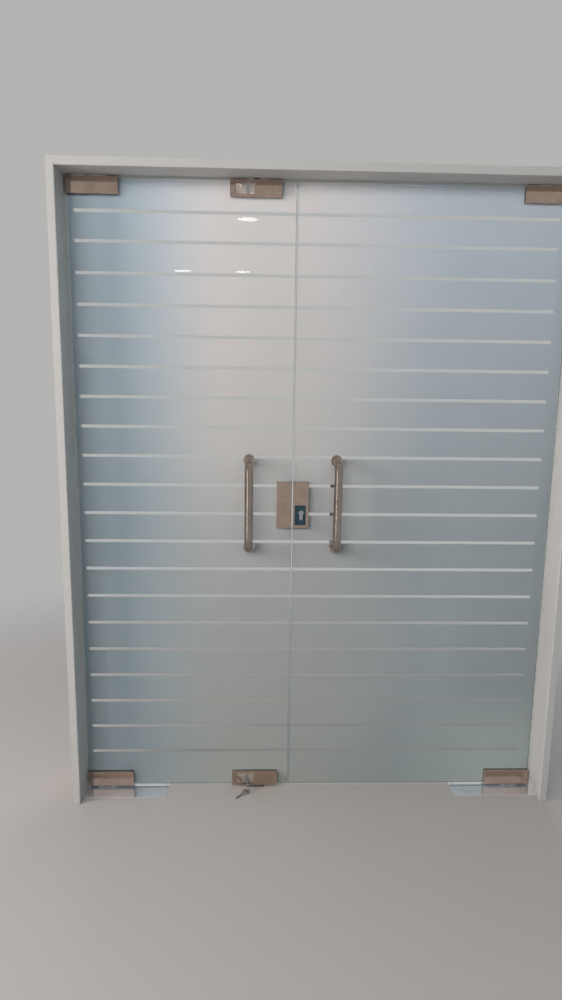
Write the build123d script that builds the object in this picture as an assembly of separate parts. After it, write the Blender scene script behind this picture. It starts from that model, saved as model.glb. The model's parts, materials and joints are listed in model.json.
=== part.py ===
from build123d import *
import math
import os

# Double glass entrance door: two frameless leaves on floor springs in a lined opening.
# Millimetres. X runs to the right along the opening, Y goes in through the door, Z is up.
# The origin is on the finished floor, where the two leaves meet, at the middle of the glass.

# Leaves and the gaps round them
LEFT_LEAF_WIDTH = 722
RIGHT_LEAF_WIDTH = 885
GLASS_HEIGHT = 2076
GLASS_THICKNESS = 12
GLASS_ARRIS = 1
FLOOR_GAP = 8
HEAD_GAP = 5
JAMB_GAP = 5
MEETING_GAP = 4
PIVOT_INSET = 65

# Lining of the opening
LINING_THICKNESS = 25
LINING_DEPTH = 230
LINING_EDGE_RADIUS = 3
HOUSING_DEPTH = 8
WALL_FIXING_HOLE = 8.5
WALL_FIXING_SINK = 16
WALL_FIXING_FOOT_MARGIN = 250
WALL_FIXING_HEAD_MARGIN = 249
WALL_FIXING_COUNT = 4
HEAD_FIXING_INSET = 350
CORNER_SCREW = 60

# Corner patches that carry the leaves, and the patch locks in the leaf edges
PATCH_LENGTH = 164
PATCH_HEIGHT = 52
PATCH_FACE = 16
COVER_WALL = 1.5
COVER_RIM = 6.4
COVER_EDGE_RADIUS = 2
COVER_FIT = 0.2
GASKET = 0.8
NOTCH_LENGTH = 100
NOTCH_HEIGHT = 38
NOTCH_RADIUS = 8
PIVOT_BLOCK_LENGTH = 60
PIVOT_BLOCK_DEPTH = 26
PIVOT_BLOCK_HEIGHT = 34
PIVOT_BLOCK_CHAMFER = 3
BLOCK_FIT = 0.3
CLAMP_SCREW_INSETS = (16, 134)
CLAMP_SCREW_RISE = 25
GLASS_SCREW_HOLE = 16

# Floor springs, their boxes and cover plates
COVER_PLATE_LENGTH = 300
COVER_PLATE_DEPTH = 150
COVER_PLATE_THICKNESS = 2
COVER_PLATE_RADIUS = 6
COVER_PLATE_UNDER_JAMB = 4
COVER_PLATE_HOLE = 36
COVER_PLATE_BEVEL = 0.6
COVER_PLATE_SCREW_INSET = 12
FLOOR_SCREW = 12
FLOOR_BOX_MARGIN = 3
FLOOR_BOX_HEIGHT = 48
FLOOR_BOX_WALL = 1.5
FLOOR_BOX_LUG = (24, 3)
SPRING_LENGTH = 262
SPRING_DEPTH = 104
SPRING_FLANGE = 8
SPRING_DRUM_DIAMETER = 86
SPRING_CYLINDER_DIAMETER = 44
SPRING_HEIGHT = 42
SPRING_FLANGE_RADIUS = 10
SPRING_DRUM_BEVEL = 4
SPRING_END = 6
SPRING_RIB = 8
SPRING_VALVE = (22, 40, 6)
SPRING_VALVE_HOLE = 8
SPRING_VALVE_SPACING = 20
SPRING_VALVE_DEPTH = 9
SPINDLE_DIAMETER = 24
SPINDLE_BEARING = 30
SPINDLE_SHOULDER = 2
TANG_HEADROOM = 4
TANG_FOOT = (22, 15)
TANG_TIP = (20, 13)
TANG_CLEARANCE = 0.1

# Top pivots in the head
PIVOT_PLATE_LENGTH = 116
PIVOT_PLATE_DEPTH = 32
PIVOT_PLATE_THICKNESS = 4
PIVOT_PLATE_RADIUS = 6
PIVOT_HOUSING_LENGTH = 64
PIVOT_HOUSING_DEPTH = 28
PIVOT_HOUSING_HEIGHT = 14
PIVOT_PIN_DIAMETER = 15
PIVOT_PIN_ENGAGEMENT = 15
PIVOT_PIN_CHAMFER = 1.5
PIVOT_COLLAR = (21, 1.5)
PIVOT_SCREW = 20
RUNNING_CLEARANCE = 0.05

# Patch locks: where their left ends are, the window in the front cover, cylinder and bolt
TOP_LOCK_LEFT = -212
BOTTOM_LOCK_LEFT = -204
LOCK_NOTCH = (8, 104)
LOCK_NOTCH_HEIGHT = 46
LOCK_CORE_GAP = 2
LOCK_WINDOW_X = (16, 80)
LOCK_WINDOW_Z = (8.5, 45.5)
LOCK_WINDOW_RADIUS = 3
LOCK_LAND_GAP = 0.8
LOCK_LAND_PROUD = 1.5
LOCK_LAND_CHAMFER = 2.2
LOCK_CYLINDER_X = 56
LOCK_CYLINDER_Z = 19
LOCK_CYLINDER_HALF_LENGTH = 20
BOLT_X = (76, 94)
BOLT_THICKNESS = 10
BOLT_LENGTH = 40
BOLT_SETBACK = 1
BOLT_THROW = 20
BOLT_CHAMFER = 1
BOLT_CLEARANCE = 0.3
STRIKE_PLATE = (64, 30)
STRIKE_PLATE_THICKNESS = 2
STRIKE_PLATE_RADIUS = 3
STRIKE_SLOT_CLEARANCE = 2
STRIKE_SCREW = 18
STRIKE_SOCKET_WALL = 2
STRIKE_SOCKET_SPARE = 4

# Profile cylinder shared by the three locks
CYLINDER_ROUND = 17
CYLINDER_STEM = 10
CYLINDER_DEPTH = 33
CYLINDER_BRIDGE = 5
CYLINDER_HOLE_CLEARANCE = 0.25
PLUG_DIAMETER = 13
CAM_HALF_WIDTH = 4.5
CAM_RADIUS = 8
CAM_REACH = 14
CAM_FINGER = 7
CAM_CLEARANCE = 0.5
KEYWAY = (2.4, 9)
KEYWAY_DEPTH = 16

# Centre lock on the right leaf and its strike box on the left leaf
CENTRE_LOCK_TOP = 1130
CENTRE_LOCK_LENGTH = 160
CENTRE_LOCK_HEIGHT = 52
CENTRE_LOCK_FACE = 18
CENTRE_LOCK_SETBACK = 3
CENTRE_NOTCH = (8, 152)
CENTRE_NOTCH_HEIGHT = 45
CENTRE_CYLINDER_DROP = 106
CENTRE_CYLINDER_INSET = 26
CENTRE_CYLINDER_HALF_LENGTH = 23
CENTRE_BOLT_X = (50, 80)
CENTRE_SCREW_INSETS = (18, 142)
ESCUTCHEON = (68, 38)
ESCUTCHEON_X = 81
ESCUTCHEON_Z = 4
ESCUTCHEON_THICKNESS = 1.2
ESCUTCHEON_RADIUS = 2
STRIKE_POCKET_DEPTH = 24

# Pull handles
PULL_CENTRES = 300
PULL_HEIGHT = 1051
PULL_INSET = 146
PULL_TUBE = 28
PULL_TUBE_WALL = 1.5
PULL_STANDOFF = 64
PULL_BEND_RADIUS = 40
PULL_PLUG = 10
PULL_STUD = 10
PULL_GLASS_HOLE = 14
ROSETTE_DIAMETER = 37
ROSETTE_HEIGHT = 8
ROSETTE_BEVEL = 1.8
ROSETTE_WASHER = 1

# Frosted film with its clear stripes
FILM_THICKNESS = 0.2
FILM_MARGIN = 1.5
FILM_RELIEF = 1.5
FILM_LAP = 1.2
STRIPE_HEIGHT = 10
STRIPE_COUNT = 20
STRIPE_TOP_MARGIN = 98
STRIPE_FIRST_SPACING = 91
STRIPE_FOOT_MARGIN = 128.4
LEFT_FILM_BAND = 16
RIGHT_FILM_BAND = 40

# Screws and keys
SCREW_SHANK = 4.5
SCREW_HEAD = 9
SCREW_SOCKET = 3
SCREW_SOCKET_SHARE = 0.8
SCREW_FIT = 0.1
SCREW_HOLE_SPARE = 1
CLAMP_SHANK = 6
CLAMP_HEAD = 12
KEY_BOW = 26
KEY_BOW_THICKNESS = 2.2
KEY_BOW_RIM = 2.5
KEY_BOW_GAP = 5
KEY_BLADE = 8
KEY_BLADE_THICKNESS = 2
KEY_CUT = 2.4
KEY_CUT_SPACING = 4
KEY_CUT_DEPTHS = (2.2, 1.2, 2.6, 1.6, 2.2, 1.2)
KEY_HOLE = 9
KEY_LENGTH = 20
KEY_RING_WIRE = 1.8
KEY_RING_HANG = 2
KEY_FLOOR_GAP = 0.3
SPARE_KEY_LENGTH = 34
SPARE_KEY_HEADING = 228
SPARE_KEY_LIFT = 2

# Lines that the pieces share
GLASS_FACE = GLASS_THICKNESS / 2
GLASS_BOTTOM = FLOOR_GAP
GLASS_TOP = FLOOR_GAP + GLASS_HEIGHT
HEAD_UNDERSIDE = GLASS_TOP + HEAD_GAP
LEFT_HEEL = -MEETING_GAP / 2 - LEFT_LEAF_WIDTH
RIGHT_HEEL = MEETING_GAP / 2 + RIGHT_LEAF_WIDTH
LEFT_JAMB = LEFT_HEEL - JAMB_GAP
RIGHT_JAMB = RIGHT_HEEL + JAMB_GAP
LEFT_PIVOT = LEFT_HEEL + PIVOT_INSET
RIGHT_PIVOT = RIGHT_HEEL - PIVOT_INSET
HEAD_TOP = HEAD_UNDERSIDE + LINING_THICKNESS
PAD_FACE = GLASS_FACE + GASKET
FLOOR_BOX_TOP = -COVER_PLATE_THICKNESS
SPRING_FOOT = FLOOR_BOX_TOP - FLOOR_BOX_HEIGHT + FLOOR_BOX_WALL
PULL_AXIS = GLASS_FACE + PULL_STANDOFF
PULL_FEET = (PULL_HEIGHT - PULL_CENTRES / 2, PULL_HEIGHT + PULL_CENTRES / 2)
STRIKE_SLOT = [side + 2 * STRIKE_SLOT_CLEARANCE for side in (BOLT_X[1] - BOLT_X[0], BOLT_THICKNESS)]
KEY_HOLE_OFFSET = (KEY_BOW - KEY_HOLE) / 2 - KEY_BOW_RIM
THROUGH = 40


def block(x, y, z):
    """A rectangular block between two limits on each axis."""
    spans = [sorted(limits) for limits in (x, y, z)]
    lows = [span[0] for span in spans]
    size = [span[1] - span[0] for span in spans]
    return Pos(*lows) * Box(*size, align=(Align.MIN, Align.MIN, Align.MIN))


def rod_y(radius, y, x=0, z=0):
    """A round bar along Y between two limits."""
    return Pos(x, min(y), z) * Rot(-90, 0, 0) * Cylinder(
        radius, max(y) - min(y), align=(Align.CENTER, Align.CENTER, Align.MIN)
    )


def rod_z(radius, z, x=0, y=0):
    """A round bar along Z between two limits."""
    return Pos(x, y, min(z)) * Cylinder(
        radius, max(z) - min(z), align=(Align.CENTER, Align.CENTER, Align.MIN)
    )


def rod_x(radius, x, y=0, z=0):
    """A round bar along X between two limits."""
    return Pos(min(x), y, z) * Rot(0, 90, 0) * Cylinder(
        radius, max(x) - min(x), align=(Align.CENTER, Align.CENTER, Align.MIN)
    )


def front_and_rear(rear):
    """A rear piece and its mirror image on the front of the glass."""
    return [rear, mirror(rear, about=Plane.XZ)]


def write(node, *shapes):
    """Save the solids of one sub-part."""
    solids = [solid for shape in shapes for solid in shape.solids()]
    export_step(solids[0] if len(solids) == 1 else Compound(children=solids), f"parts/{node}.step")


def screw(shank, head, length):
    """A countersunk screw with its head flush at the origin, pointing down."""
    sink = (head - shank) / 2
    side = [(head / 2, 0), (shank / 2, -sink), (shank / 2, -length)]
    outline = Polyline((0, 0), *side, (0, -length), close=True)
    body = revolve(Plane.XZ * make_face(outline), Axis.Z)
    return body - extrude(RegularPolygon(SCREW_SOCKET / 2, 6), -sink * SCREW_SOCKET_SHARE)


def screw_hole(shank, head, length):
    """The hole that a countersunk screw fills, with its clearance."""
    sink = (head - shank) / 2
    wide, narrow = head / 2 + SCREW_FIT, shank / 2 + SCREW_FIT
    side = [(wide, SCREW_HOLE_SPARE), (wide, 0), (narrow, -sink), (narrow, -length)]
    outline = Polyline((0, SCREW_HOLE_SPARE), *side, (0, -length), close=True)
    return revolve(Plane.XZ * make_face(outline), Axis.Z)


class Seat:
    """Carries a fitting from its own frame to the leaf.

    In its own frame a fitting starts at x = 0, runs along X, and its outer edge lies on z = 0.
    """

    def __init__(self, x, z, flip_x=False, flip_z=False, upright=False):
        self.place = Pos(x, 0, z)
        self.flip_x = flip_x
        self.flip_z = flip_z
        self.upright = upright

    def __call__(self, shape):
        if self.upright:
            shape = Rot(0, 90, 0) * shape
        if self.flip_x:
            shape = mirror(shape, about=Plane.YZ)
        if self.flip_z:
            shape = mirror(shape, about=Plane.XY)
        return self.place * shape


LEFT_BOTTOM = Seat(LEFT_HEEL, GLASS_BOTTOM)
LEFT_TOP = Seat(LEFT_HEEL, GLASS_TOP, flip_z=True)
RIGHT_BOTTOM = Seat(RIGHT_HEEL, GLASS_BOTTOM, flip_x=True)
RIGHT_TOP = Seat(RIGHT_HEEL, GLASS_TOP, flip_x=True, flip_z=True)
TOP_LOCK = Seat(TOP_LOCK_LEFT, GLASS_TOP, flip_z=True)
BOTTOM_LOCK = Seat(BOTTOM_LOCK_LEFT, GLASS_BOTTOM)
CENTRE_LOCK = Seat(CENTRE_LOCK_SETBACK, CENTRE_LOCK_TOP, upright=True)
CENTRE_STRIKE = Seat(-CENTRE_LOCK_SETBACK, CENTRE_LOCK_TOP, flip_x=True, upright=True)


def wall_fixing_hole():
    """The countersunk hole through a board for a screw into the wall."""
    return screw_hole(WALL_FIXING_HOLE - 2 * SCREW_FIT, WALL_FIXING_SINK, LINING_THICKNESS + 1)


def under_head(x):
    """A place on the head's underside, facing up into the board."""
    return Pos(x, 0, HEAD_UNDERSIDE) * Rot(180, 0, 0)


def jamb_lining(face, outward):
    """One upright board of the lining, housed into the head, with holes for wall fixings."""
    back = face + outward * LINING_THICKNESS
    half = LINING_DEPTH / 2
    board = block((face, back), (-half, half), (0, HEAD_UNDERSIDE + HOUSING_DEPTH))
    arrises = board.edges().filter_by(Axis.Z).filter_by(lambda edge: abs(edge.center().X - face) < 0.01)
    board = fillet(arrises, LINING_EDGE_RADIUS)
    turn = Rot(0, -90 * outward, 0)
    highest = HEAD_UNDERSIDE - WALL_FIXING_HEAD_MARGIN
    pitch = (highest - WALL_FIXING_FOOT_MARGIN) / (WALL_FIXING_COUNT - 1)
    for index in range(WALL_FIXING_COUNT):
        board -= Pos(face, 0, highest - index * pitch) * turn * wall_fixing_hole()
    for y in corner_screw_places():
        board -= Pos((face + back) / 2, y, HEAD_TOP) * screw_hole(SCREW_SHANK, SCREW_HEAD, CORNER_SCREW)
    return board


def corner_screw_places():
    """Where the screws of a corner joint stand across the lining."""
    return [side * LINING_DEPTH / 4 for side in (-1, 1)]


def head_lining():
    """The head board, housed over the jambs and recessed for the pivots and the strike."""
    half = LINING_DEPTH / 2
    ends = (LEFT_JAMB - LINING_THICKNESS, RIGHT_JAMB + LINING_THICKNESS)
    board = block(ends, (-half, half), (HEAD_UNDERSIDE, HEAD_TOP))
    arrises = board.edges().filter_by(Axis.X).group_by(Axis.Z)[0]
    board = fillet(arrises, LINING_EDGE_RADIUS)
    for face, end in ((LEFT_JAMB, ends[0]), (RIGHT_JAMB, ends[1])):
        board -= block((face, end), (-half, half), (HEAD_UNDERSIDE, HEAD_UNDERSIDE + HOUSING_DEPTH))
        for y in corner_screw_places():
            board -= Pos((face + end) / 2, y, HEAD_TOP) * screw_hole(SCREW_SHANK, SCREW_HEAD, CORNER_SCREW)
    for pivot in (LEFT_PIVOT, RIGHT_PIVOT):
        board -= pivot_recess(pivot)
        for x in pivot_screw_places(pivot):
            board -= under_head(x) * screw_hole(SCREW_SHANK, SCREW_HEAD, PIVOT_SCREW)
    board -= strike_recess(bolt_middle(TOP_LOCK_LEFT))
    for x in strike_screw_places(bolt_middle(TOP_LOCK_LEFT)):
        board -= under_head(x) * screw_hole(SCREW_SHANK, SCREW_HEAD, STRIKE_SCREW)
    for x in (LEFT_JAMB + HEAD_FIXING_INSET, RIGHT_JAMB - HEAD_FIXING_INSET):
        board -= under_head(x) * wall_fixing_hole()
    return board


def rounded_plate(length, depth, thickness, radius):
    """A plate with rounded corners, centred, its underside on z = 0."""
    return extrude(RectangleRounded(length, depth, radius), thickness)


def pivot_plate(fit=0.0):
    """A top pivot's plate, or with a fit its seat."""
    length, depth = PIVOT_PLATE_LENGTH + 2 * fit, PIVOT_PLATE_DEPTH + 2 * fit
    return rounded_plate(length, depth, PIVOT_PLATE_THICKNESS, PIVOT_PLATE_RADIUS + fit)


def pivot_housing(fit=0.0):
    """The housing above a top pivot's plate, or with a fit its seat."""
    length, depth = PIVOT_HOUSING_LENGTH + 2 * fit, PIVOT_HOUSING_DEPTH + 2 * fit
    height = PIVOT_PLATE_THICKNESS + PIVOT_HOUSING_HEIGHT + fit
    return rounded_plate(length, depth, height, PIVOT_PLATE_RADIUS + fit)


def pivot_recess(pivot):
    """The pocket in the head for one top pivot."""
    return Pos(pivot, 0, HEAD_UNDERSIDE) * (pivot_plate(BLOCK_FIT) + pivot_housing(BLOCK_FIT))


def pivot_screw_places(pivot):
    """Where a pivot plate's screws stand along the head."""
    reach = (PIVOT_PLATE_LENGTH + PIVOT_HOUSING_LENGTH) / 4
    return [pivot - reach, pivot + reach]


def top_pivot(pivot):
    """One top pivot: plate let into the head, housing above it and the pin that drops into the leaf."""
    pin_length = HEAD_GAP + PIVOT_PIN_ENGAGEMENT
    pin = rod_z(PIVOT_PIN_DIAMETER / 2, (-pin_length, 1))
    pin = chamfer(pin.edges().group_by(Axis.Z)[0], PIVOT_PIN_CHAMFER)
    collar = rod_z(PIVOT_COLLAR[0] / 2, (-PIVOT_COLLAR[1], 1))
    body = Pos(pivot, 0, HEAD_UNDERSIDE) * (pivot_plate() + pivot_housing() + collar + pin)
    for x in pivot_screw_places(pivot):
        body -= under_head(x) * screw_hole(SCREW_SHANK, SCREW_HEAD, PIVOT_SCREW)
    return body


def bolt_middle(lock_left):
    """The bolt's centre line along the opening, for a patch lock that starts at lock_left."""
    return lock_left + sum(BOLT_X) / 2


def strike_slot(depth):
    """The slot that a thrown patch bolt enters, from z = 0 upwards, or downwards for a negative depth."""
    return extrude(Rectangle(*STRIKE_SLOT), depth)


def strike_screw_places(middle):
    """Where a strike plate's screws stand."""
    reach = (STRIKE_PLATE[0] + STRIKE_SLOT[0]) / 4
    return [middle - reach, middle + reach]


def strike_recess(middle):
    """The pocket in the head for the strike plate and the thrown bolt."""
    length, depth = [side + 2 * BLOCK_FIT for side in STRIKE_PLATE]
    plate = rounded_plate(length, depth, STRIKE_PLATE_THICKNESS, STRIKE_PLATE_RADIUS)
    return Pos(middle, 0, HEAD_UNDERSIDE) * (plate + strike_slot(BOLT_THROW))


def head_strike_plate():
    """The slotted plate in the head that receives the top bolt."""
    middle = bolt_middle(TOP_LOCK_LEFT)
    plate = rounded_plate(*STRIKE_PLATE, STRIKE_PLATE_THICKNESS, STRIKE_PLATE_RADIUS)
    plate = Pos(middle, 0, HEAD_UNDERSIDE) * (plate - strike_slot(STRIKE_PLATE_THICKNESS))
    for x in strike_screw_places(middle):
        plate -= under_head(x) * screw_hole(SCREW_SHANK, SCREW_HEAD, STRIKE_SCREW)
    return plate


def floor_strike_socket():
    """The cup let into the floor that receives the bottom bolt, with its flush flange."""
    wall = STRIKE_SOCKET_WALL
    depth = BOLT_THROW + STRIKE_SOCKET_SPARE
    outer = [side + 2 * wall for side in STRIKE_SLOT]
    flange = extrude(RectangleRounded(*STRIKE_PLATE, STRIKE_PLATE_RADIUS), -STRIKE_PLATE_THICKNESS)
    cup = extrude(RectangleRounded(*outer, STRIKE_PLATE_RADIUS), -depth - wall)
    return Pos(bolt_middle(BOTTOM_LOCK_LEFT), 0, 0) * (flange + cup - strike_slot(-depth))


def cover_plate_span(heel_jamb, inward):
    """The two ends of a floor cover plate, from under the jamb into the opening."""
    start = heel_jamb - inward * COVER_PLATE_UNDER_JAMB
    return start, start + inward * COVER_PLATE_LENGTH


def floor_screw_places(heel_jamb, inward):
    """Where the screws of a floor cover plate stand."""
    start, end = cover_plate_span(heel_jamb, inward)
    inset = inward * COVER_PLATE_SCREW_INSET
    return [start + inward * COVER_PLATE_UNDER_JAMB + inset, end - inset]


def floor_cover_plate(heel_jamb, inward, pivot):
    """The flush plate over a floor spring, with a hole for the spindle."""
    start, end = cover_plate_span(heel_jamb, inward)
    outline = RectangleRounded(COVER_PLATE_LENGTH, COVER_PLATE_DEPTH, COVER_PLATE_RADIUS)
    plate = extrude(Pos((start + end) / 2, 0) * outline, -COVER_PLATE_THICKNESS)
    plate = chamfer(plate.faces().sort_by(Axis.Z)[-1].edges(), COVER_PLATE_BEVEL)
    plate -= rod_z(COVER_PLATE_HOLE / 2, (-COVER_PLATE_THICKNESS, 0), pivot)
    for x in floor_screw_places(heel_jamb, inward):
        plate -= Pos(x, 0, 0) * screw_hole(SCREW_SHANK, SCREW_HEAD, FLOOR_SCREW)
    return plate


def floor_box(heel_jamb, inward):
    """The open sheet box that is cast into the floor, with a lug at each end for the cover's screws."""
    start, end = cover_plate_span(heel_jamb, inward)
    middle = (start + end) / 2
    length = COVER_PLATE_LENGTH - 2 * FLOOR_BOX_MARGIN
    depth = COVER_PLATE_DEPTH - 2 * FLOOR_BOX_MARGIN
    wall = FLOOR_BOX_WALL
    body = extrude(RectangleRounded(length, depth, COVER_PLATE_RADIUS), -FLOOR_BOX_HEIGHT)
    inner = RectangleRounded(length - 2 * wall, depth - 2 * wall, COVER_PLATE_RADIUS - wall)
    box = Pos(middle, 0, FLOOR_BOX_TOP) * (body - extrude(inner, wall - FLOOR_BOX_HEIGHT))
    lug_width, lug_thickness = FLOOR_BOX_LUG
    for x in floor_screw_places(heel_jamb, inward):
        away = math.copysign(1, x - middle)
        along = (x - away * lug_width / 4, middle + away * (length - wall) / 2)
        box += block(along, (-lug_width / 2, lug_width / 2), (FLOOR_BOX_TOP - lug_thickness, FLOOR_BOX_TOP))
        box -= Pos(x, 0, 0) * screw_hole(SCREW_SHANK, SCREW_HEAD, FLOOR_SCREW)
    return box


def floor_spring(heel_jamb, inward, pivot):
    """The closer's casting: flange, spindle drum, hydraulic cylinder and valve boss."""
    middle = sum(cover_plate_span(heel_jamb, inward)) / 2
    end = middle + inward * (SPRING_LENGTH / 2 - SPRING_END)
    foot, top = SPRING_FOOT, SPRING_FOOT + SPRING_HEIGHT
    flange = rounded_plate(SPRING_LENGTH, SPRING_DEPTH, SPRING_FLANGE, SPRING_FLANGE_RADIUS)
    drum = rod_z(SPRING_DRUM_DIAMETER / 2, (foot, top), pivot)
    drum = chamfer(drum.edges().group_by(Axis.Z)[-1], SPRING_DRUM_BEVEL)
    barrel_z = foot + SPRING_FLANGE + SPRING_CYLINDER_DIAMETER / 4
    barrel = rod_x(SPRING_CYLINDER_DIAMETER / 2, (pivot, end), 0, barrel_z)
    rib = block((pivot, end), (-SPRING_RIB / 2, SPRING_RIB / 2), (foot, top))
    valve_length, valve_depth, valve_drop = SPRING_VALVE
    valve_x = end - inward * (SPRING_END + valve_length / 2)
    along = (valve_x - valve_length / 2, valve_x + valve_length / 2)
    valve = block(along, (-valve_depth / 2, valve_depth / 2), (foot, top - valve_drop))
    casting = Pos(middle, 0, foot) * flange + drum + barrel + rib + valve
    casting -= Pos(middle, 0, foot) * Box(
        2 * SPRING_LENGTH, SPRING_DEPTH, SPRING_HEIGHT, align=(Align.CENTER, Align.CENTER, Align.MAX)
    )
    for y in (-SPRING_VALVE_SPACING / 2, SPRING_VALVE_SPACING / 2):
        casting -= rod_z(SPRING_VALVE_HOLE / 2, (top - SPRING_VALVE_DEPTH, top), valve_x, y)
    bore = rod_z(SPINDLE_DIAMETER / 2 + RUNNING_CLEARANCE, (top - SPINDLE_BEARING, top), pivot)
    return casting - bore


def tang(clearance=0.0):
    """The tapered square end of the spindle, standing on z = 0."""
    foot = Rectangle(*[side + 2 * clearance for side in TANG_FOOT])
    tip = Rectangle(*[side + 2 * clearance for side in TANG_TIP])
    height = GLASS_BOTTOM - SPINDLE_SHOULDER + PIVOT_BLOCK_HEIGHT - TANG_HEADROOM
    return loft([foot, Pos(0, 0, height + clearance) * tip])


def spindle(pivot):
    """The closer's spindle, which turns with the leaf: bearing journal, shoulder and tapered tang."""
    top = SPRING_FOOT + SPRING_HEIGHT
    bearing = (top - SPINDLE_BEARING + RUNNING_CLEARANCE, SPINDLE_SHOULDER)
    journal = rod_z(SPINDLE_DIAMETER / 2, bearing, pivot)
    return journal + Pos(pivot, 0, SPINDLE_SHOULDER) * tang()


def notch(x, height, corners):
    """The cut-out in the glass edge behind a fitting, with rounded inner corners."""
    cut = block(x, (-GLASS_FACE, GLASS_FACE), (-1, height))
    inner = cut.edges().filter_by(Axis.Y).group_by(Axis.Z)[-1].sort_by(Axis.X)
    return fillet(inner[-1:] if corners == 1 else inner, NOTCH_RADIUS)


def patch_notch():
    """The corner cut-out for a pivot patch and the hole for its far clamp screw."""
    far, rise = CLAMP_SCREW_INSETS[1], CLAMP_SCREW_RISE
    return notch((-1, NOTCH_LENGTH), NOTCH_HEIGHT, 1) + rod_y(
        GLASS_SCREW_HOLE / 2, (-GLASS_FACE, GLASS_FACE), far, rise
    )


def lock_notch():
    """The cut-out for a patch lock and the hole for its far clamp screw."""
    far, rise = CLAMP_SCREW_INSETS[1], CLAMP_SCREW_RISE
    return notch(LOCK_NOTCH, LOCK_NOTCH_HEIGHT, 2) + rod_y(
        GLASS_SCREW_HOLE / 2, (-GLASS_FACE, GLASS_FACE), far, rise
    )


def centre_notch():
    """The cut-out in the meeting edge for the centre lock or its strike box."""
    reach = CENTRE_LOCK_SETBACK
    cut = block(CENTRE_NOTCH, (-GLASS_FACE, GLASS_FACE), (-reach, CENTRE_NOTCH_HEIGHT))
    return fillet(cut.edges().filter_by(Axis.Y).group_by(Axis.Z)[-1], NOTCH_RADIUS)


def rear_cover(length, height, face):
    """A pressed cover shell: plain face, rounded edges, open along its outer edge."""
    shell = block((0, length), (COVER_RIM, face), (0, height))
    rounded = shell.edges().filter_by(lambda edge: edge.center().Y > COVER_RIM and edge.center().Z > 0)
    shell = fillet(rounded, COVER_EDGE_RADIUS)
    wall = COVER_WALL
    return shell - block((wall, length - wall), (0, face - wall), (-1, height - wall))


def rear_plate(length, height, face):
    """The clamp plate that fills a cover, from the gasket to the cover's inner face."""
    inset = COVER_WALL + COVER_FIT
    return block((inset, length - inset), (PAD_FACE, face - COVER_WALL), (0, height - inset))


def rear_gasket(length, height, cut_out):
    """The sheet between the glass and a clamp plate, cut away where the glass is."""
    inset = COVER_WALL + COVER_FIT
    sheet = block((inset, length - inset), (GLASS_FACE, PAD_FACE), (0, height - inset))
    return sheet - Pos(0, GLASS_THICKNESS, 0) * cut_out - Pos(0, GASKET, 0) * cut_out


def clamp_screws(insets, rise, face, hole=False):
    """The countersunk screws that draw the two clamp plates together, head to the front."""
    make = screw_hole if hole else screw
    length = 2 * (face - COVER_WALL) - 2
    front = -(face - COVER_WALL)
    one = make(CLAMP_SHANK, CLAMP_HEAD, length)
    return [Pos(x, front, rise) * Rot(90, 0, 0) * one for x in insets]


def pivot_block(bottom):
    """The block in a corner patch that takes the spindle's tang or the top pivot's pin."""
    middle = PIVOT_INSET
    length, depth = PIVOT_BLOCK_LENGTH / 2, PIVOT_BLOCK_DEPTH / 2
    body = block((middle - length, middle + length), (-depth, depth), (0, PIVOT_BLOCK_HEIGHT))
    body = chamfer(body.edges().filter_by(Axis.Y).group_by(Axis.Z)[-1], PIVOT_BLOCK_CHAMFER)
    if bottom:
        return body - Pos(middle, 0, SPINDLE_SHOULDER - GLASS_BOTTOM) * tang(TANG_CLEARANCE)
    bore = rod_z(PIVOT_PIN_DIAMETER / 2 + RUNNING_CLEARANCE, (-1, PIVOT_PIN_ENGAGEMENT + 1), middle)
    return body - bore


def patch_clamps():
    """The two cast clamp plates of a corner patch, pocketed for the pivot block."""
    length, depth = PIVOT_BLOCK_LENGTH / 2 + BLOCK_FIT, PIVOT_BLOCK_DEPTH / 2 + BLOCK_FIT
    pocket = block(
        (PIVOT_INSET - length, PIVOT_INSET + length), (-depth, depth), (-1, PIVOT_BLOCK_HEIGHT + BLOCK_FIT)
    )
    holes = clamp_screws(CLAMP_SCREW_INSETS, CLAMP_SCREW_RISE, PATCH_FACE, hole=True)
    plates = front_and_rear(rear_plate(PATCH_LENGTH, PATCH_HEIGHT, PATCH_FACE))
    return [plate - pocket - holes for plate in plates]


def profile(extra=0.0):
    """The keyhole-shaped section of a profile cylinder: round at the origin, stem above it."""
    stem_end = CYLINDER_DEPTH - CYLINDER_ROUND / 2
    round_part = Circle(CYLINDER_ROUND / 2 + extra)
    foot = CYLINDER_STEM / 2
    stem = Pos(0, (stem_end - foot) / 2) * Rectangle(CYLINDER_STEM + 2 * extra, stem_end - foot)
    end = Pos(0, stem_end - foot) * Circle(foot + extra)
    return round_part + stem + end


def profile_bar(half_length, extra=0.0, turn=0):
    """A bar of the profile along Y, stem up, turned about Y."""
    bar = extrude(Plane.XZ * profile(extra), half_length, both=True)
    return Rot(0, turn, 0) * bar


def cylinder_body(half_length, turn=0):
    """A profile cylinder's body: bored for its plug and cut away for the cam, which a bridge spans."""
    body = profile_bar(half_length)
    bridge_foot = CYLINDER_DEPTH - CYLINDER_ROUND / 2 - CYLINDER_BRIDGE
    gap = CAM_HALF_WIDTH + CAM_CLEARANCE
    body -= block((-THROUGH, THROUGH), (-gap, gap), (-THROUGH, bridge_foot))
    body -= rod_y(PLUG_DIAMETER / 2 + RUNNING_CLEARANCE, (-half_length, half_length))
    return Rot(0, turn, 0) * body


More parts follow.
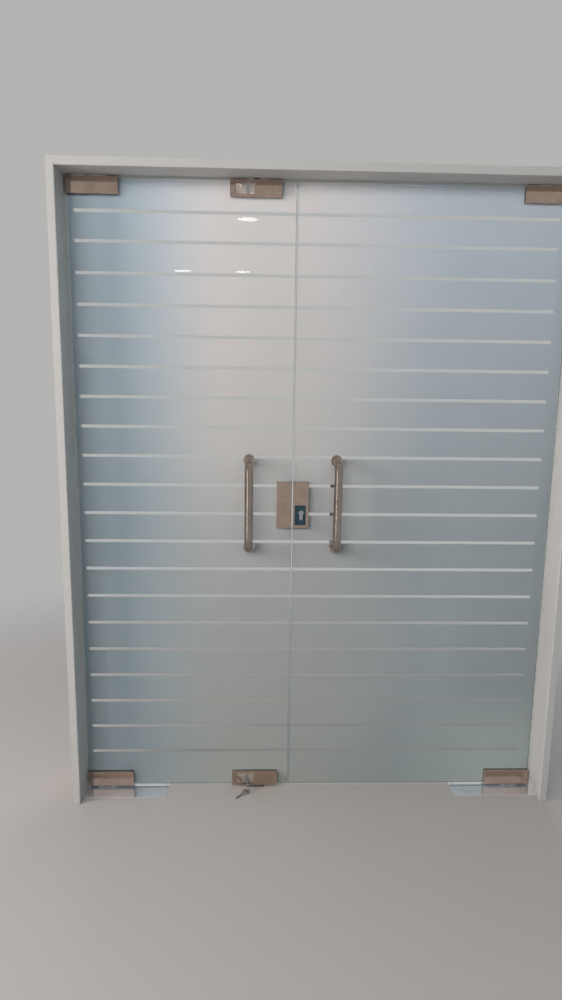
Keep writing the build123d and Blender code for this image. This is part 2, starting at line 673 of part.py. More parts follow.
def cylinder_plug(half_length):
    """The plug that the key turns, with a keyway at each end and the cam in the middle."""
    plug = rod_y(PLUG_DIAMETER / 2, (-half_length, half_length))
    plug += rod_y(CAM_RADIUS, (-CAM_HALF_WIDTH, CAM_HALF_WIDTH))
    plug += block((-CAM_FINGER / 2, CAM_FINGER / 2), (-CAM_HALF_WIDTH, CAM_HALF_WIDTH), (-CAM_REACH, 0))
    for side in (-1, 1):
        ends = (side * half_length, side * (half_length - KEYWAY_DEPTH))
        plug -= block((-KEYWAY[0] / 2, KEYWAY[0] / 2), ends, (-KEYWAY[1] / 2, KEYWAY[1] / 2))
    return plug


def bolt(x):
    """A bolt at rest, its nose just inside the fitting's outer edge."""
    half = BOLT_THICKNESS / 2
    body = block(x, (-half, half), (BOLT_SETBACK, BOLT_SETBACK + BOLT_LENGTH))
    return chamfer(body.edges().group_by(Axis.Z)[0], BOLT_CHAMFER)


def bolt_channel(x):
    """The way that a bolt slides in, through the fitting's outer edge."""
    gap = BOLT_CLEARANCE
    half = BOLT_THICKNESS / 2 + gap
    return block((x[0] - gap, x[1] + gap), (-half, half), (-5, BOLT_SETBACK + BOLT_LENGTH + gap))


def cam_pocket(x, z):
    """The round pocket that the cam sweeps."""
    gap = CAM_HALF_WIDTH + CAM_CLEARANCE
    return rod_y(CAM_REACH + CAM_CLEARANCE, (-gap, gap), x, z)


def case_core(x, height):
    """The part of a lock's case that lies in the glass cut-out."""
    gap = LOCK_CORE_GAP
    core = block((x[0] + gap, x[1] - gap), (-PAD_FACE, PAD_FACE), (0, height - gap))
    return fillet(core.edges().filter_by(Axis.Y).group_by(Axis.Z)[-1], NOTCH_RADIUS - gap)


def lock_window(gap=0.0):
    """The window in a patch lock's front cover, as a face in the plane of the glass."""
    wide = LOCK_WINDOW_X[1] - LOCK_WINDOW_X[0] - 2 * gap
    high = LOCK_WINDOW_Z[1] - LOCK_WINDOW_Z[0] - 2 * gap
    middle = Pos(sum(LOCK_WINDOW_X) / 2, sum(LOCK_WINDOW_Z) / 2)
    return middle * RectangleRounded(wide, high, LOCK_WINDOW_RADIUS)


def lock_covers():
    """A patch lock's covers: the front one has a window, the rear one a hole for the cylinder."""
    rear, front = front_and_rear(rear_cover(PATCH_LENGTH, PATCH_HEIGHT, PATCH_FACE))
    front -= extrude(Plane.XZ * lock_window(), PATCH_FACE + 1)
    axis = Pos(LOCK_CYLINDER_X, 0, LOCK_CYLINDER_Z)
    hole = axis * profile_bar(PATCH_FACE + 1, 2 * CYLINDER_HOLE_CLEARANCE)
    return [rear - hole, front]


def lock_case():
    """A patch lock's case: rear plate with the core cast on, and the front plate with its raised land."""
    rear, front = front_and_rear(rear_plate(PATCH_LENGTH, PATCH_HEIGHT, PATCH_FACE))
    rear += case_core(LOCK_NOTCH, LOCK_NOTCH_HEIGHT)
    land = extrude(Plane.XZ * lock_window(LOCK_LAND_GAP), PATCH_FACE + LOCK_LAND_PROUD)
    land -= block((0, PATCH_LENGTH), (-PAD_FACE - COVER_WALL, PAD_FACE), (0, PATCH_HEIGHT))
    land = chamfer(land.faces().sort_by(Axis.Y)[0].edges(), LOCK_LAND_CHAMFER)
    front += land
    cuts = clamp_screws(CLAMP_SCREW_INSETS, CLAMP_SCREW_RISE, PATCH_FACE, hole=True)
    cuts.append(Pos(LOCK_CYLINDER_X, 0, LOCK_CYLINDER_Z) * profile_bar(THROUGH, CYLINDER_HOLE_CLEARANCE))
    cuts.append(cam_pocket(LOCK_CYLINDER_X, LOCK_CYLINDER_Z))
    cuts.append(bolt_channel(BOLT_X))
    return [rear - cuts, front - cuts]


def centre_covers():
    """The covers of the centre lock or the strike box, before the cylinder's hole."""
    return front_and_rear(rear_cover(CENTRE_LOCK_LENGTH, CENTRE_LOCK_HEIGHT, CENTRE_LOCK_FACE))


def centre_case():
    """The case of the centre lock or the strike box: two plates, the rear one with the core."""
    rear, front = front_and_rear(rear_plate(CENTRE_LOCK_LENGTH, CENTRE_LOCK_HEIGHT, CENTRE_LOCK_FACE))
    rear += case_core(CENTRE_NOTCH, CENTRE_NOTCH_HEIGHT)
    holes = clamp_screws(CENTRE_SCREW_INSETS, CENTRE_LOCK_HEIGHT / 2, CENTRE_LOCK_FACE, hole=True)
    return [rear - holes, front - holes]


def centre_cylinder_place():
    """The centre lock's cylinder axis, in the lock's own frame."""
    return Pos(CENTRE_CYLINDER_DROP, 0, CENTRE_CYLINDER_INSET)


def centre_cylinder_hole(extra):
    """The cylinder's hole; the stem points down the leaf."""
    return centre_cylinder_place() * profile_bar(THROUGH, extra, turn=90)


def escutcheon():
    """The dark plastic plate round the cylinder on the front of the centre lock."""
    place = Pos(ESCUTCHEON_X + ESCUTCHEON[0] / 2, ESCUTCHEON_Z + ESCUTCHEON[1] / 2)
    outline = place * RectangleRounded(*ESCUTCHEON, ESCUTCHEON_RADIUS)
    sheet = Pos(0, -CENTRE_LOCK_FACE, 0) * extrude(Plane.XZ * outline, ESCUTCHEON_THICKNESS)
    return sheet - centre_cylinder_hole(3 * CYLINDER_HOLE_CLEARANCE)


def pull(x, rear):
    """A D-shaped pull bent from one tube, its ends closed by tapped plugs."""
    side = 1 if rear else -1
    foot = side * (GLASS_FACE + ROSETTE_WASHER)
    axis = side * PULL_AXIS
    low, high = PULL_FEET
    corners = [(x, foot, high), (x, axis, high), (x, axis, low), (x, foot, low)]
    path = FilletPolyline(*corners, radius=PULL_BEND_RADIUS)
    start = Plane(origin=path @ 0, z_dir=path % 0)
    outer, inner = PULL_TUBE / 2, PULL_TUBE / 2 - PULL_TUBE_WALL
    tube = sweep(start * Circle(outer), path) - sweep(start * Circle(inner), path)
    for z in PULL_FEET:
        end = (foot, foot + side * PULL_PLUG)
        plug = rod_y(inner, end, x, z)
        tube += plug - rod_y(PULL_STUD / 2 + SCREW_FIT, end, x, z)
    return tube


def rosette():
    """The collar round a pull's foot, standing on z = 0."""
    outer, inner = ROSETTE_DIAMETER / 2, PULL_TUBE / 2 + SCREW_FIT
    ring = rod_z(outer, (0, ROSETTE_HEIGHT))
    ring = chamfer(ring.edges().group_by(Axis.Z)[-1], ROSETTE_BEVEL)
    ring -= rod_z(inner, (ROSETTE_WASHER, ROSETTE_HEIGHT))
    return ring - rod_z(PULL_STUD / 2 + SCREW_FIT, (0, ROSETTE_WASHER))


def pull_fixings(x):
    """The studs through the glass that join a pair of pulls, and the four collars."""
    reach = GLASS_FACE + ROSETTE_WASHER + PULL_PLUG - 1
    pieces = []
    for z in PULL_FEET:
        pieces.append(rod_y(PULL_STUD / 2, (-reach, reach), x, z))
        for turn, side in ((90, -1), (-90, 1)):
            pieces.append(Pos(x, side * GLASS_FACE, z) * Rot(turn, 0, 0) * rosette())
    return pieces


def key(length):
    """A flat key on edge: the bow about the origin with its hole, the blade along +Y."""
    start = KEY_BOW / 2
    bow = extrude(Plane.YZ * Circle(start), KEY_BOW_THICKNESS / 2, both=True)
    half = KEY_BLADE_THICKNESS / 2
    blade = block((-half, half), (0, start + length), (-KEY_BLADE / 2, KEY_BLADE / 2))
    cuts = []
    for index, depth in enumerate(KEY_CUT_DEPTHS):
        y = start + length - KEY_CUT_SPACING * (index + 1)
        if y > start + KEY_CUT_SPACING:
            cuts.append(block((-half, half), (y, y + KEY_CUT), (-KEY_BLADE / 2, -KEY_BLADE / 2 + depth)))
    hole = extrude(Plane.YZ * Circle(KEY_HOLE / 2), KEY_BOW_THICKNESS, both=True)
    return bow + blade - cuts - Pos(0, -KEY_HOLE_OFFSET, 0) * hole


def bottom_key_place():
    """Where the bow of the key in the bottom lock is."""
    bow_y = -LOCK_CYLINDER_HALF_LENGTH - KEY_BOW / 2 - KEY_BOW_GAP
    return Vector(BOTTOM_LOCK_LEFT + LOCK_CYLINDER_X, bow_y, GLASS_BOTTOM + LOCK_CYLINDER_Z)


def bottom_lock_key():
    """The key left in the bottom lock, its blade on edge in the keyway."""
    return Pos(*bottom_key_place()) * key(KEY_LENGTH)


def key_ring():
    """A flat wire ring that hangs from the key's bow to the floor, and the spare key on it, lying there."""
    bow = bottom_key_place()
    high = bow.Z - KEY_RING_HANG
    low = KEY_FLOOR_GAP + KEY_RING_WIRE / 2
    radius = (high - low) / 2
    hang = Pos(bow.X, bow.Y - KEY_HOLE_OFFSET, low + radius) * Rot(0, 0, SPARE_KEY_HEADING)
    half = KEY_RING_WIRE / 2
    ring = hang * (rod_y(radius + half, (-half, half)) - rod_y(radius - half, (-half, half)))
    flat = Rot(0, 0, -90) * Rot(0, 90, 0) * key(SPARE_KEY_LENGTH)
    rest_height = low + KEY_RING_WIRE / 2 + KEY_BOW_THICKNESS / 2 + KEY_FLOOR_GAP
    slope = math.degrees(math.atan2(SPARE_KEY_LIFT, KEY_BOW + SPARE_KEY_LENGTH))
    place = Pos(bow.X, bow.Y - KEY_HOLE_OFFSET, rest_height) * Rot(0, 0, SPARE_KEY_HEADING)
    spare = place * Rot(0, slope, 0) * Pos(KEY_BOW / 2 - KEY_BOW_RIM / 2, 0, 0) * flat
    return [ring, spare]


def floor_screws():
    """The countersunk screws of both floor cover plates."""
    one = screw(SCREW_SHANK, SCREW_HEAD, FLOOR_SCREW - 1)
    return [
        Pos(x, 0, 0) * one
        for jamb, inward in ((LEFT_JAMB, 1), (RIGHT_JAMB, -1))
        for x in floor_screw_places(jamb, inward)
    ]


def head_screws():
    """The screws that go up into the head: pivot plates and strike plate."""
    places = strike_screw_places(bolt_middle(TOP_LOCK_LEFT))
    places += pivot_screw_places(LEFT_PIVOT) + pivot_screw_places(RIGHT_PIVOT)
    one = screw(SCREW_SHANK, SCREW_HEAD, STRIKE_SCREW - 1)
    return [under_head(x) * one for x in places]


def corner_screws():
    """The screws that go down through the head into the jambs."""
    one = screw(SCREW_SHANK, SCREW_HEAD, CORNER_SCREW - 1)
    boards = (LEFT_JAMB - LINING_THICKNESS / 2, RIGHT_JAMB + LINING_THICKNESS / 2)
    return [Pos(x, y, HEAD_TOP) * one for x in boards for y in corner_screw_places()]


def glass_pane(x, seats, pull_x):
    """One leaf's toughened pane: arrised edges, cut-outs behind the fittings, holes for the pull."""
    pane = block(x, (-GLASS_FACE, GLASS_FACE), (GLASS_BOTTOM, GLASS_TOP))
    long_edges = pane.edges().filter_by(Axis.X) + pane.edges().filter_by(Axis.Z)
    pane = chamfer(long_edges, GLASS_ARRIS)
    pane -= [seat(cut) for seat, cut in seats]
    for z in PULL_FEET:
        pane -= rod_y(PULL_GLASS_HOLE / 2, (-GLASS_FACE, GLASS_FACE), pull_x, z)
    return pane


def stripe_heights():
    """The middle of each clear stripe, from the top down."""
    first = GLASS_TOP - STRIPE_TOP_MARGIN
    second = first - STRIPE_FIRST_SPACING
    spacing = (second - GLASS_BOTTOM - STRIPE_FOOT_MARGIN) / (STRIPE_COUNT - 2)
    return [first] + [second - index * spacing for index in range(STRIPE_COUNT - 1)]


def frosted_film(heel, meeting, band, outlines, pull_x):
    """The film on the pane's rear face, slit by clear stripes that stop short of the heel edge."""
    inward = math.copysign(1, meeting - heel)
    span = (heel + inward * FILM_MARGIN, meeting - inward * FILM_MARGIN)
    depth = (GLASS_FACE, GLASS_FACE + FILM_THICKNESS)
    sheet = block(span, depth, (GLASS_BOTTOM + FILM_MARGIN, GLASS_TOP - FILM_MARGIN))
    half = STRIPE_HEIGHT / 2
    sheet -= [block((heel + inward * band, meeting), depth, (z - half, z + half)) for z in stripe_heights()]
    sheet -= outlines
    for z in PULL_FEET:
        sheet -= rod_y(ROSETTE_DIAMETER / 2 + FILM_RELIEF, depth, pull_x, z)
    return sheet


def fitting_outline(length, height, corner=False):
    """The area that a fitting keeps free of film, which laps under its rim and stops at its gasket."""
    start = -THROUGH if corner else FILM_LAP
    depth = (GLASS_FACE, GLASS_FACE + FILM_THICKNESS)
    return block((start, length - FILM_LAP), depth, (-THROUGH, height - FILM_LAP))


def frame_nodes():
    """The lining, pivots, strikes and floor springs, which stay fixed."""
    write("head_lining", head_lining())
    write("left_jamb_lining", jamb_lining(LEFT_JAMB, -1))
    write("right_jamb_lining", jamb_lining(RIGHT_JAMB, 1))
    write("left_top_pivot", top_pivot(LEFT_PIVOT))
    write("right_top_pivot", top_pivot(RIGHT_PIVOT))
    write("head_strike_plate", head_strike_plate())
    write("floor_strike_socket", floor_strike_socket())
    sides = (("left", LEFT_JAMB, 1, LEFT_PIVOT), ("right", RIGHT_JAMB, -1, RIGHT_PIVOT))
    for name, jamb, inward, pivot in sides:
        write(f"{name}_floor_box", floor_box(jamb, inward))
        write(f"{name}_floor_spring", floor_spring(jamb, inward, pivot))
        write(f"{name}_floor_cover", floor_cover_plate(jamb, inward, pivot))
        write(f"{name}_spindle", spindle(pivot))
    write("frame_screws", *corner_screws(), *head_screws(), *floor_screws())


def patch_nodes(side, top, bottom):
    """A leaf's two corner patches."""
    covers = front_and_rear(rear_cover(PATCH_LENGTH, PATCH_HEIGHT, PATCH_FACE))
    for place, seat in (("top", top), ("bottom", bottom)):
        write(f"{side}_{place}_patch_covers", *[seat(cover) for cover in covers])
        write(f"{side}_{place}_patch_clamps", *[seat(clamp) for clamp in patch_clamps()])
    write(f"{side}_pivot_blocks", top(pivot_block(False)), bottom(pivot_block(True)))


def gaskets(patches, locks, centre):
    """All the sheets between a leaf's glass and its clamp plates."""
    corner = front_and_rear(rear_gasket(PATCH_LENGTH, PATCH_HEIGHT, patch_notch()))
    lock = front_and_rear(rear_gasket(PATCH_LENGTH, PATCH_HEIGHT, lock_notch()))
    middle = front_and_rear(rear_gasket(CENTRE_LOCK_LENGTH, CENTRE_LOCK_HEIGHT, centre_notch()))
    pieces = [seat(sheet) for seat in patches for sheet in corner]
    pieces += [seat(sheet) for seat in locks for sheet in lock]
    return pieces + [centre(sheet) for sheet in middle]


def leaf_screws(corners, centre):
    """All the clamp screws of a leaf."""
    corner = clamp_screws(CLAMP_SCREW_INSETS, CLAMP_SCREW_RISE, PATCH_FACE)
    pieces = [seat(one) for seat in corners for one in corner]
    middle = clamp_screws(CENTRE_SCREW_INSETS, CENTRE_LOCK_HEIGHT / 2, CENTRE_LOCK_FACE)
    return pieces + [centre(one) for one in middle]


def lock_nodes(name, seat):
    """A patch lock in the left leaf: covers, case, cylinder, plug and bolt."""
    axis = Pos(LOCK_CYLINDER_X, 0, LOCK_CYLINDER_Z)
    write(f"{name}_lock_covers", *[seat(cover) for cover in lock_covers()])
    write(f"{name}_lock_case", *[seat(half) for half in lock_case()])
    write(f"{name}_lock_cylinder", seat(axis * cylinder_body(LOCK_CYLINDER_HALF_LENGTH)))
    write(f"{name}_lock_plug", seat(axis * cylinder_plug(LOCK_CYLINDER_HALF_LENGTH)))
    write(f"{name}_lock_bolt", seat(bolt(BOLT_X)))


def centre_lock_nodes():
    """The centre lock on the right leaf and the strike box on the left one."""
    hole = centre_cylinder_hole(2 * CYLINDER_HOLE_CLEARANCE)
    write("centre_lock_covers", *[CENTRE_LOCK(cover - hole) for cover in centre_covers()])
    cuts = [
        centre_cylinder_hole(CYLINDER_HOLE_CLEARANCE),
        cam_pocket(CENTRE_CYLINDER_DROP, CENTRE_CYLINDER_INSET),
        bolt_channel(CENTRE_BOLT_X),
    ]
    write("centre_lock_case", *[CENTRE_LOCK(half - cuts) for half in centre_case()])
    write("centre_lock_escutcheon", CENTRE_LOCK(escutcheon()))
    body = cylinder_body(CENTRE_CYLINDER_HALF_LENGTH, turn=90)
    write("centre_lock_cylinder", CENTRE_LOCK(centre_cylinder_place() * body))
    plug = Rot(0, 90, 0) * cylinder_plug(CENTRE_CYLINDER_HALF_LENGTH)
    write("centre_lock_plug", CENTRE_LOCK(centre_cylinder_place() * plug))
    write("centre_lock_bolt", CENTRE_LOCK(bolt(CENTRE_BOLT_X)))
    gap = BOLT_CLEARANCE
    half = BOLT_THICKNESS / 2 + gap
    along = (CENTRE_BOLT_X[0] - gap, CENTRE_BOLT_X[1] + gap)
    pocket = block(along, (-half, half), (-1, STRIKE_POCKET_DEPTH))
    write("centre_strike_covers", *[CENTRE_STRIKE(cover) for cover in centre_covers()])
    write("centre_strike_case", *[CENTRE_STRIKE(half_case - pocket) for half_case in centre_case()])


def leaf_nodes():
    """The panes, their film, the gaskets, screws and pulls."""
    meeting = MEETING_GAP / 2
    patch = fitting_outline(PATCH_LENGTH, PATCH_HEIGHT, corner=True)
    lock = fitting_outline(PATCH_LENGTH, PATCH_HEIGHT)
    centre = fitting_outline(CENTRE_LOCK_LENGTH, CENTRE_LOCK_HEIGHT)
    left_patches, right_patches = (LEFT_TOP, LEFT_BOTTOM), (RIGHT_TOP, RIGHT_BOTTOM)
    left_locks = (TOP_LOCK, BOTTOM_LOCK)
    leaves = (
        ("left", LEFT_HEEL, -meeting, LEFT_FILM_BAND, left_patches, left_locks, CENTRE_STRIKE),
        ("right", RIGHT_HEEL, meeting, RIGHT_FILM_BAND, right_patches, (), CENTRE_LOCK),
    )
    for side, heel, edge, band, patches, locks, middle in leaves:
        pull_x = edge + math.copysign(PULL_INSET, heel)
        cuts = [(seat, patch_notch()) for seat in patches]
        cuts += [(seat, lock_notch()) for seat in locks]
        cuts.append((middle, centre_notch()))
        outlines = [seat(patch) for seat in patches] + [seat(lock) for seat in locks] + [middle(centre)]
        write(f"{side}_glass", glass_pane((heel, edge), cuts, pull_x))
        write(f"{side}_frosted_film", frosted_film(heel, edge, band, outlines, pull_x))
        patch_nodes(side, *patches)
        write(f"{side}_gaskets", *gaskets(patches, locks, middle))
        write(f"{side}_clamp_screws", *leaf_screws(patches + locks, middle))
        write(f"{side}_outside_pull", pull(pull_x, rear=False))
        write(f"{side}_inside_pull", pull(pull_x, rear=True))
        write(f"{side}_pull_fixings", *pull_fixings(pull_x))


def main():
    """Write every sub-part of the door."""
    os.makedirs("parts", exist_ok=True)
    frame_nodes()
    leaf_nodes()
    lock_nodes("top", TOP_LOCK)
    lock_nodes("bottom", BOTTOM_LOCK)
    centre_lock_nodes()
    write("bottom_lock_key", bottom_lock_key())
    write("key_ring", *key_ring())


main()
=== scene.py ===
"""Looks of the double glass entrance door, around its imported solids. Metres, same frame as the solids."""

import json
import math

import bpy
from mathutils import Matrix, Vector


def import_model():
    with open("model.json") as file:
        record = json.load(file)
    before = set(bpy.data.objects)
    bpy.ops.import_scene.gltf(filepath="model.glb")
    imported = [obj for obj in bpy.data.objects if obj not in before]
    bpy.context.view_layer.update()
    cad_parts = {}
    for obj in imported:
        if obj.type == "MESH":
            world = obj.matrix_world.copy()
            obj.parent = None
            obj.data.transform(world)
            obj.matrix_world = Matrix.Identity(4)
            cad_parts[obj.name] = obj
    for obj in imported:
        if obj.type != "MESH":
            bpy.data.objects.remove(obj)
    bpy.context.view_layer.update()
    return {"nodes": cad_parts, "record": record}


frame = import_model()

# Camera of the photograph: angles in degrees, lens and sensor in millimetres
CAMERA_PLACE = (-0.11655, -2.38570, 1.51149)
CAMERA_YAW = 1.860
CAMERA_PITCH = -10.612
CAMERA_ROLL = 0.786
LENS = 25.663
SENSOR = 36.0

# Paint of the lining, how much of two of its tones is mixed in, and the height of its scuffed foot
PAINT = (0.480, 0.462, 0.450)
PAINT_LIGHT = (0.550, 0.530, 0.515)
PAINT_RUNS = (0.43, 0.42, 0.41)
PAINT_EDGES = (0.340, 0.326, 0.315)
PAINT_SCUFFS = (0.34, 0.315, 0.29)
RUN_SHARE = 0.35
EDGE_SHARE = 0.8
FOOT_HEIGHT = 0.09

# Glass: EDGE_TURN is how far the surface faces along Y where the ground edge begins and is full
GLASS_IOR = 1.5
GLASS_TINT = (0.955, 0.985, 0.98)
THROUGH_GLASS = (0.93, 0.96, 0.955)
EDGE_DARK = (0.09, 0.155, 0.145)
EDGE_LIGHT = (0.20, 0.28, 0.26)
EDGE_TURN = (0.86, 0.6)

# Film: tones from foot to head, painted lighter towards the head; then the tones mixed in, which are painted
# light and shade (warmer lighter middle, cooler darker sides, lighter right foot) and real smears and
# specks; how much, and where along X and Z
FILM_HEIGHT = (0.1, 1.95)
FILM_TONES_PAINTED_LIGHTER_UP = ((0.0, (0.415, 0.400, 0.395)), (0.45, (0.410, 0.395, 0.410)), (1.0, (0.630, 0.605, 0.655)))
FILM_PAINTED_WARM_LIGHT = (0.570, 0.500, 0.480)
FILM_PAINTED_SHADE_LEFT = (0.325, 0.385, 0.440)
FILM_PAINTED_SHADE_RIGHT = (0.325, 0.370, 0.420)
FILM_PAINTED_LIGHT_CORNER = (0.54, 0.56, 0.54)
FILM_SMEARS = (0.52, 0.51, 0.52)
FILM_SPECKS = (0.62, 0.62, 0.62)
THROUGH_FILM = (0.52, 0.56, 0.57)
PAINTED_WARM_LIGHT_SHARE = 0.55
PAINTED_SHADE_LEFT_SHARE = 0.65
PAINTED_SHADE_RIGHT_SHARE = 0.45
PAINTED_LIGHT_CORNER_SHARE = 0.5
SMEAR_SHARE = 0.18
SPECK_SHARE = 0.4
PAINTED_SHADE_LEFT_SPAN = (-0.22, -0.60)
PAINTED_SHADE_RIGHT_SPAN = (0.0, 0.55)
CORNER_ACROSS = (0.35, 0.75)
CORNER_HEIGHT = (0.42, 0.12)
FILM_BACK_SHARE = 0.25

# The two tones of each metal, of the gasket's fibres and of the dark plate; the warm brown of the polished
# steels, darkest on the pulls, and the blue cast of the floor covers are painted reflection
STEEL_WITH_PAINTED_REFLECTION = ((0.57, 0.44, 0.36), (0.45, 0.34, 0.28))
PULL_STEEL_WITH_PAINTED_REFLECTION = ((0.42, 0.355, 0.31), (0.32, 0.265, 0.23))
LAND_STEEL_WITH_PAINTED_REFLECTION = ((0.72, 0.63, 0.56), (0.60, 0.51, 0.45))
COVER_STEEL_WITH_PAINTED_REFLECTION = ((0.92, 0.92, 0.97), (0.85, 0.85, 0.90))
CAST_ALLOY = ((0.60, 0.605, 0.61), (0.44, 0.445, 0.45))
FIXING_STEEL = ((0.62, 0.61, 0.60), (0.48, 0.48, 0.49))
CLOSER_IRON = ((0.10, 0.11, 0.13), (0.045, 0.05, 0.06))
NICKELLED_BRASS = ((0.60, 0.64, 0.68), (0.46, 0.50, 0.54))
FIBRES = ((0.018, 0.018, 0.019), (0.060, 0.058, 0.056))
DARK_PLATE = ((0.006, 0.018, 0.030), (0.014, 0.042, 0.056))

# How many times finer a metal's grit is than its mottle
GRIT_FINENESS = 14

# Stage: between the two distances of FADE the floor turns into the pale backdrop
FLOOR_LEVEL = -0.0008
FLOOR_REACH = 40.0
FLOOR_COLOUR = (0.42, 0.375, 0.35)
FLOOR_CLOUD = (0.97, 1.02)
FADE = (1.2, 3.0)
PALE = (0.46, 0.455, 0.45)
WORLD_LIGHT = (0.25, 0.32, 0.38)

# Lamps: place, target, size, power in watts, colour
SOFT_LAMPS = {
    "key": ((-1.3, -4.4, 2.6), (0.2, 0.0, 1.0), (2.8, 2.0), 140.0, (1.0, 0.95, 0.90)),
    "side": ((-3.4, -1.5, 1.9), (0.6, 0.0, 1.0), (1.2, 1.6), 92.0, (1.0, 0.95, 0.91)),
    "fill": ((1.4, -4.4, 2.2), (0.2, 0.0, 1.0), (2.6, 2.2), 20.0, (0.50, 0.90, 1.0)),
    "rear": ((0.8, 3.4, 2.8), (0.0, 0.0, 1.0), (2.4, 1.6), 45.0, (1.0, 0.98, 0.95)),
}
STRIP = ((-2.3, -2.5, 1.3), (0.0, 0.0, 1.05), (0.16, 2.4), 10.0, (1.0, 0.97, 0.94))

# Downlights: X, Y and radius of each, and watts for a radius of one metre
CEILING = 2.75
DOWNLIGHTS = ((-0.22, -4.1, 0.09), (-1.15, -7.6, 0.12), (-0.35, -7.6, 0.10))
DOWNLIGHT_POWER = 90.0
DOWNLIGHT_COLOUR = (1.0, 0.97, 0.93)

# Sockets of the Mix node when it mixes colours
MIX_FACTOR, MIX_A, MIX_B, MIX_RESULT = 0, 6, 7, 2


def put(tree, kind, inputs=None, **settings):
    """Adds a shader node; inputs are constants or sockets to link."""
    node = tree.nodes.new("ShaderNode" + kind)
    for name, value in settings.items():
        setattr(node, name, value)
    for key, value in (inputs or {}).items():
        if isinstance(value, bpy.types.NodeSocket):
            tree.links.new(value, node.inputs[key])
        else:
            node.inputs[key].default_value = value
    return node


def rgba(colour):
    """A colour with full alpha."""
    return (*colour, 1.0)


def shown(tree):
    """1 where a ray shows the backdrop: from the camera, off metal or through glass."""
    ray = put(tree, "LightPath").outputs
    seen = ray["Is Camera Ray"]
    for kind in ("Is Glossy Ray", "Is Transmission Ray"):
        seen = put(tree, "Math", {0: seen, 1: ray[kind]}, operation="MAXIMUM").outputs["Value"]
    return seen


class Look:
    """One procedural material."""

    def __init__(self, name):
        self.material = bpy.data.materials.new(name)
        self.material.use_nodes = True
        self.tree = self.material.node_tree
        self.tree.nodes.clear()
        self.out = self.tree.nodes.new("ShaderNodeOutputMaterial")
        self.place = put(self.tree, "TexCoord").outputs["Object"]

    def stretched(self, scale):
        """Object coordinates scaled unevenly, for grain and streaks."""
        return put(self.tree, "Mapping", {"Vector": self.place, "Scale": scale}).outputs["Vector"]

    def noise(self, scale, detail, roughness, where=None, distortion=0.0):
        """Noise from 0 to 1."""
        node = put(self.tree, "TexNoise", {
            "Vector": where or self.place, "Scale": scale, "Detail": detail,
            "Roughness": roughness, "Distortion": distortion,
        })
        return node.outputs["Fac"]

    def ramp(self, value, stops):
        """A colour along stops of (position, colour)."""
        node = put(self.tree, "ValToRGB", {"Fac": value})
        band = node.color_ramp
        while len(band.elements) < len(stops):
            band.elements.new(0.5)
        for element, (position, colour) in zip(band.elements, stops):
            element.position = position
            element.color = rgba(colour)
        return node.outputs["Color"]

    def span(self, value, low, high, to_low=0.0, to_high=1.0, smooth=False):
        """Maps a value's span onto another, clamped."""
        node = put(self.tree, "MapRange", {
            "Value": value, "From Min": low, "From Max": high, "To Min": to_low, "To Max": to_high,
        }, interpolation_type="SMOOTHSTEP" if smooth else "LINEAR")
        return node.outputs["Result"]

    def math(self, operation, a, b=0.0):
        """One arithmetic step."""
        return put(self.tree, "Math", {0: a, 1: b}, operation=operation).outputs["Value"]

    def mix(self, factor, a, b):
        """Mixes two colours; the factor comes from a node."""
        node = self.tree.nodes.new("ShaderNodeMix")
        node.data_type = "RGBA"
        self.tree.links.new(factor, node.inputs[MIX_FACTOR])
        for socket, colour in ((node.inputs[MIX_A], a), (node.inputs[MIX_B], b)):
            if isinstance(colour, bpy.types.NodeSocket):
                self.tree.links.new(colour, socket)
            else:
                socket.default_value = rgba(colour)
        return node.outputs[MIX_RESULT]

    def axis(self, name):
        """One object coordinate."""
        return put(self.tree, "SeparateXYZ", {"Vector": self.place}).outputs[name]

    def facing(self, name):
        """How far the surface faces along one of the piece's own axes, without sign."""
        normal = put(self.tree, "TexCoord").outputs["Normal"]
        part = put(self.tree, "SeparateXYZ", {"Vector": normal}).outputs[name]
        return self.math("ABSOLUTE", part)

    def bump(self, height, distance, strength, under=None):
        """A bump whose height is in metres."""
        inputs = {"Height": height, "Distance": distance, "Strength": strength}
        if under is not None:
            inputs["Normal"] = under
        return put(self.tree, "Bump", inputs).outputs["Normal"]

    def surface(self, **inputs):
        """The Principled shader."""
        names = {
            "color": "Base Color", "metallic": "Metallic", "roughness": "Roughness", "normal": "Normal",
            "ior": "IOR", "transmission": "Transmission Weight", "specular": "Specular IOR Level",
        }
        filled = {names[key]: rgba(v) if isinstance(v, tuple) else v for key, v in inputs.items()}
        return put(self.tree, "BsdfPrincipled", filled).outputs["BSDF"]

    def finish(self, shader, lamps_through=None):
        """Connects the output; with a colour, lamps shine through tinted by it."""
        if lamps_through is not None:
            clear = put(self.tree, "BsdfTransparent", {"Color": rgba(lamps_through)}).outputs["BSDF"]
            shadow = put(self.tree, "LightPath").outputs["Is Shadow Ray"]
            mixed = put(self.tree, "MixShader", {0: shadow, 1: shader, 2: clear})
            shader = mixed.outputs["Shader"]
        self.tree.links.new(shader, self.out.inputs["Surface"])
        return self.material


